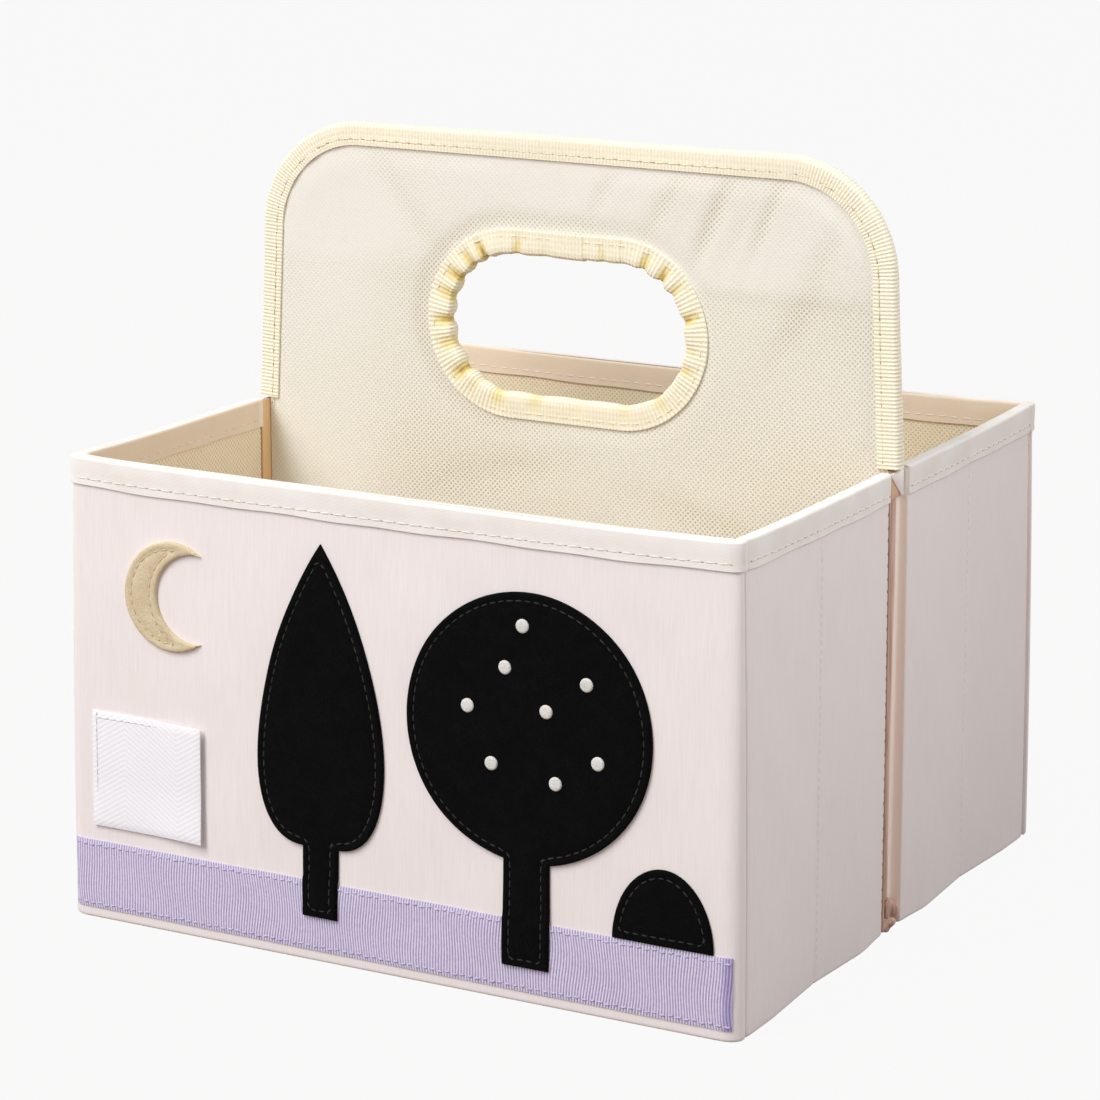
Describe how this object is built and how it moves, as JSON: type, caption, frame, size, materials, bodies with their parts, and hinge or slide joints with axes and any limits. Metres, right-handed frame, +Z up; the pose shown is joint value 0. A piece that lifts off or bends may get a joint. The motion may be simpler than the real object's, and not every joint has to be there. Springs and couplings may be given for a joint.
{
  "type": "nursery caddy",
  "caption": "Folding fabric caddy with open bins either side of a carrying panel that has a bound hand opening; board-stiffened canvas walls with creased sides fold flat.",
  "frame": {"origin": "middle of the foot of the carrying panel, on the surface the caddy stands on", "axes": "+Z up, -Y towards the front wall with the ribbon and felt, +X to the right seen from the front"},
  "size_m": [0.282, 0.2711, 0.294],
  "materials": {
    "canvas": "pale blush polycotton canvas, fine upright weave",
    "board": "plain grey-brown board",
    "lining": "ivory non-woven cloth with a small embossed diamond lattice",
    "rim_tape": "off-white folded cotton tape, stitched",
    "webbing": "pale yellow ribbed webbing, stitched",
    "interlining": "soft needled interlining",
    "ribbon": "lavender grosgrain, stitched along both edges",
    "label": "white herringbone tape, blank",
    "black_felt": "black wool-like felt, stitched",
    "tan_felt": "tan wool-like felt, stitched"
  },
  "bodies": {
    "divider": {"divider_board": "board", "divider_front_panel": "lining", "divider_back_panel": "lining", "divider_edge_webbing": "webbing", "handle_opening_webbing": "webbing", "right_side_gusset": "canvas", "left_side_gusset": "canvas", "front_bottom_canvas": "canvas", "front_bottom_pad": "interlining", "front_bottom_lining": "lining", "back_bottom_canvas": "canvas", "back_bottom_pad": "interlining", "back_bottom_lining": "lining"},
    "front_right_inner_leaf": {"front_right_inner_leaf_cover": "canvas", "front_right_inner_leaf_board": "board", "front_right_inner_leaf_lining": "lining", "front_right_inner_leaf_rim_tape": "rim_tape"},
    "front_right_outer_leaf": {"front_right_outer_leaf_cover": "canvas", "front_right_outer_leaf_board": "board", "front_right_outer_leaf_lining": "lining", "front_right_outer_leaf_rim_tape": "rim_tape"},
    "front_left_inner_leaf": {"front_left_inner_leaf_cover": "canvas", "front_left_inner_leaf_board": "board", "front_left_inner_leaf_lining": "lining", "front_left_inner_leaf_rim_tape": "rim_tape"},
    "front_left_outer_leaf": {"front_left_outer_leaf_cover": "canvas", "front_left_outer_leaf_board": "board", "front_left_outer_leaf_lining": "lining", "front_left_outer_leaf_rim_tape": "rim_tape"},
    "front_wall": {"front_wall_cover": "canvas", "front_wall_board": "board", "front_wall_lining": "lining", "front_wall_rim_tape": "rim_tape", "grosgrain_ribbon": "ribbon", "label_tab": "label", "felt_round_tree": "black_felt", "felt_tall_tree": "black_felt", "felt_moon": "tan_felt", "felt_bush": "tan_felt"},
    "back_right_inner_leaf": {"back_right_inner_leaf_cover": "canvas", "back_right_inner_leaf_board": "board", "back_right_inner_leaf_lining": "lining", "back_right_inner_leaf_rim_tape": "rim_tape"},
    "back_right_outer_leaf": {"back_right_outer_leaf_cover": "canvas", "back_right_outer_leaf_board": "board", "back_right_outer_leaf_lining": "lining", "back_right_outer_leaf_rim_tape": "rim_tape"},
    "back_left_inner_leaf": {"back_left_inner_leaf_cover": "canvas", "back_left_inner_leaf_board": "board", "back_left_inner_leaf_lining": "lining", "back_left_inner_leaf_rim_tape": "rim_tape"},
    "back_left_outer_leaf": {"back_left_outer_leaf_cover": "canvas", "back_left_outer_leaf_board": "board", "back_left_outer_leaf_lining": "lining", "back_left_outer_leaf_rim_tape": "rim_tape"},
    "back_wall": {"back_wall_cover": "canvas", "back_wall_board": "board", "back_wall_lining": "lining", "back_wall_rim_tape": "rim_tape"}
  },
  "joints": [
    {"name": "front_fold", "type": "hinge", "parent": "divider", "child": "front_right_inner_leaf", "pos_m": [0.1352, -0.008, 0.09], "axis": [0, 0, -1], "range_deg": [0, 86]},
    {"name": "front_right_crease", "type": "hinge", "parent": "front_right_inner_leaf", "child": "front_right_outer_leaf", "pos_m": [0.1411, -0.0686, 0.09], "axis": [0, 0, 1], "range_deg": [0, 172], "deforming": ["front_bottom_canvas", "front_bottom_pad", "front_bottom_lining"]},
    {"name": "front_corner", "type": "hinge", "parent": "front_right_outer_leaf", "child": "front_wall", "pos_m": [0.1352, -0.1292, 0.09], "axis": [0, 0, -1], "range_deg": [0, 86]},
    {"name": "front_left_fold", "type": "hinge", "parent": "divider", "child": "front_left_inner_leaf", "pos_m": [-0.1352, -0.008, 0.09], "axis": [0, 0, 1], "range_deg": [0, 86]},
    {"name": "front_left_crease", "type": "hinge", "parent": "front_left_inner_leaf", "child": "front_left_outer_leaf", "pos_m": [-0.1411, -0.0686, 0.09], "axis": [0, 0, -1], "range_deg": [0, 172]},
    {"name": "back_fold", "type": "hinge", "parent": "divider", "child": "back_right_inner_leaf", "pos_m": [0.1352, 0.008, 0.09], "axis": [0, 0, 1], "range_deg": [0, 86]},
    {"name": "back_right_crease", "type": "hinge", "parent": "back_right_inner_leaf", "child": "back_right_outer_leaf", "pos_m": [0.1411, 0.0686, 0.09], "axis": [0, 0, -1], "range_deg": [0, 172], "deforming": ["back_bottom_canvas", "back_bottom_pad", "back_bottom_lining"]},
    {"name": "back_corner", "type": "hinge", "parent": "back_right_outer_leaf", "child": "back_wall", "pos_m": [0.1352, 0.1292, 0.09], "axis": [0, 0, 1], "range_deg": [0, 86]},
    {"name": "back_left_fold", "type": "hinge", "parent": "divider", "child": "back_left_inner_leaf", "pos_m": [-0.1352, 0.008, 0.09], "axis": [0, 0, -1], "range_deg": [0, 86]},
    {"name": "back_left_crease", "type": "hinge", "parent": "back_left_inner_leaf", "child": "back_left_outer_leaf", "pos_m": [-0.1411, 0.0686, 0.09], "axis": [0, 0, 1], "range_deg": [0, 172]}
  ],
  "couplings": [
    {"joint": "front_fold", "follows": "front_right_crease", "ratio": 0.5},
    {"joint": "front_corner", "follows": "front_right_crease", "ratio": 0.5},
    {"joint": "front_left_fold", "follows": "front_right_crease", "ratio": 0.5},
    {"joint": "front_left_crease", "follows": "front_right_crease", "ratio": 1},
    {"joint": "back_fold", "follows": "back_right_crease", "ratio": 0.5},
    {"joint": "back_corner", "follows": "back_right_crease", "ratio": 0.5},
    {"joint": "back_left_fold", "follows": "back_right_crease", "ratio": 0.5},
    {"joint": "back_left_crease", "follows": "back_right_crease", "ratio": 1}
  ]
}
